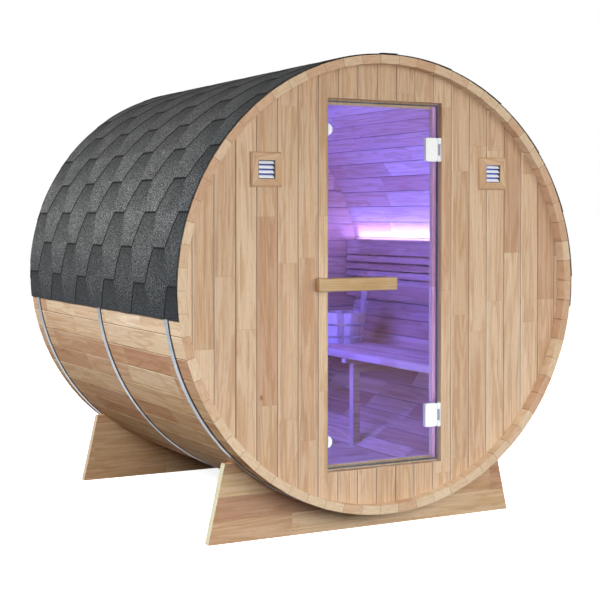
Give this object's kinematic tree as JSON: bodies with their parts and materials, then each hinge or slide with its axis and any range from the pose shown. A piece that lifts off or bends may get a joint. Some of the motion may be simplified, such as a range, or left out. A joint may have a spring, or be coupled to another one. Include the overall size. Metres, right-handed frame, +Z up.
{
  "type": "barrel sauna",
  "caption": "Round timber sauna room on two cradles, with steel bands, a shingle roof, a hinged glass door, vents, and a bench, backrest and duckboard floor inside.",
  "frame": {"origin": "on the ground under the middle of the barrel", "axes": "+Z up, +Y along the barrel towards the rear wall, so the door faces -Y; +X to the right seen from the front"},
  "size_m": [1.8162, 1.8, 1.8941],
  "materials": {
    "stave_wood": "sawn and planed softwood",
    "wall_wood": "sawn and planed softwood",
    "stop_wood": "sawn and planed softwood",
    "door_glass": "clear toughened glass",
    "handle_wood": "sawn and planed softwood",
    "bolt_steel": "satin",
    "hinge_white": "satin white",
    "vent_wood": "sawn and planed softwood",
    "vent_white": "matt white",
    "band_steel": "galvanised",
    "shingle": "mineral granules on bitumen felt",
    "cradle_wood": "sawn and planed softwood",
    "floor_wood": "sawn and planed softwood",
    "bench_wood": "sawn and planed softwood",
    "light_strip": "frosted diffuser",
    "bucket_wood": "sawn and planed softwood",
    "bucket_steel": "satin"
  },
  "bodies": {
    "cabin": {"staves_bottom": "stave_wood", "staves_lower_right": "stave_wood", "staves_upper_right": "stave_wood", "staves_top": "stave_wood", "staves_upper_left": "stave_wood", "staves_lower_left": "stave_wood", "front_wall_left": "wall_wood", "front_wall_right": "wall_wood", "front_wall_above": "wall_wood", "front_wall_below": "wall_wood", "rear_wall": "wall_wood", "door_stops": "stop_wood", "hinge_leaf_upper": "hinge_white", "hinge_leaf_lower": "hinge_white", "vent_frame_left": "vent_wood", "vent_frame_right": "vent_wood", "vent_louvre_left": "vent_white", "vent_louvre_right": "vent_white", "band_front": "band_steel", "band_middle": "band_steel", "band_rear": "band_steel", "roof_left": "shingle", "roof_right": "shingle", "cradle_front": "cradle_wood", "cradle_rear": "cradle_wood", "floor_boards": "floor_wood", "floor_bearers": "floor_wood", "bench_seat": "bench_wood", "bench_support": "bench_wood", "backrest_slats": "bench_wood", "backrest_battens": "bench_wood", "light_strip": "light_strip", "bucket": "bucket_wood", "bucket_hoops": "bucket_steel"},
    "door": {"door_glass": "door_glass", "outside_handle": "handle_wood", "inside_handle": "handle_wood", "handle_bolts": "bolt_steel", "hinge_clamp_upper": "hinge_white", "hinge_clamp_lower": "hinge_white", "door_catch_upper": "hinge_white", "door_catch_lower": "hinge_white"}
  },
  "joints": [
    {"name": "door_hinge", "type": "hinge", "parent": "cabin", "child": "door", "pos_m": [0.265, -0.845, 0.988], "axis": [0, 0, 1], "range_deg": [0, 100]}
  ]
}
